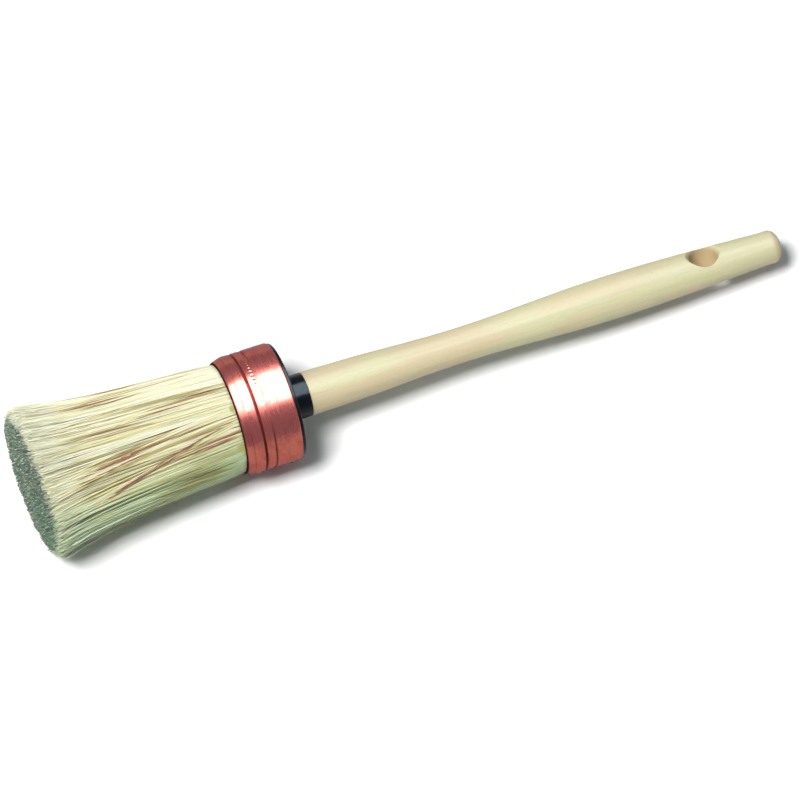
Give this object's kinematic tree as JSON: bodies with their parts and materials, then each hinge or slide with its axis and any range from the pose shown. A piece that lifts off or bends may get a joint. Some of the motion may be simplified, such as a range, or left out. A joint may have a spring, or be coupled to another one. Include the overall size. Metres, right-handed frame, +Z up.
{
  "type": "round stencil brush",
  "caption": "Round stencil brush: turned beech handle with a hanging hole, black cap, rolled copper ferrule and a flared, flat-cut bundle of natural bristle that flexes.",
  "frame": {"origin": "on the surface that the brush lies on, under the centre of its bounding box", "axes": "+X runs along the brush from the bristle tips towards the handle's end, +Z is up, off the surface; the brush's own axis slopes 2.66 degrees down towards the handle"},
  "size_m": [0.298, 0.0556, 0.0548],
  "materials": {
    "beech": "satin",
    "black_plastic": "gloss",
    "copper": "satin",
    "plug_wood": "matte",
    "resin": "satin",
    "bristle": "matte"
  },
  "bodies": {
    "brush_body": {"handle": "beech", "cap": "black_plastic", "ferrule": "copper", "core_plug": "plug_wood", "resin_block": "resin", "bristle_roots": "bristle"},
    "bristles": {"bristle_bundle": "bristle"}
  },
  "joints": [
    {"name": "bristle_flex", "type": "hinge", "parent": "brush_body", "child": "bristles", "pos_m": [-0.06919, 0, 0.02356], "axis": [0, 0, 1], "range_deg": [-20, 20], "stiffness_Nm_per_rad": 1.5, "deforming": ["bristle_bundle"]}
  ]
}
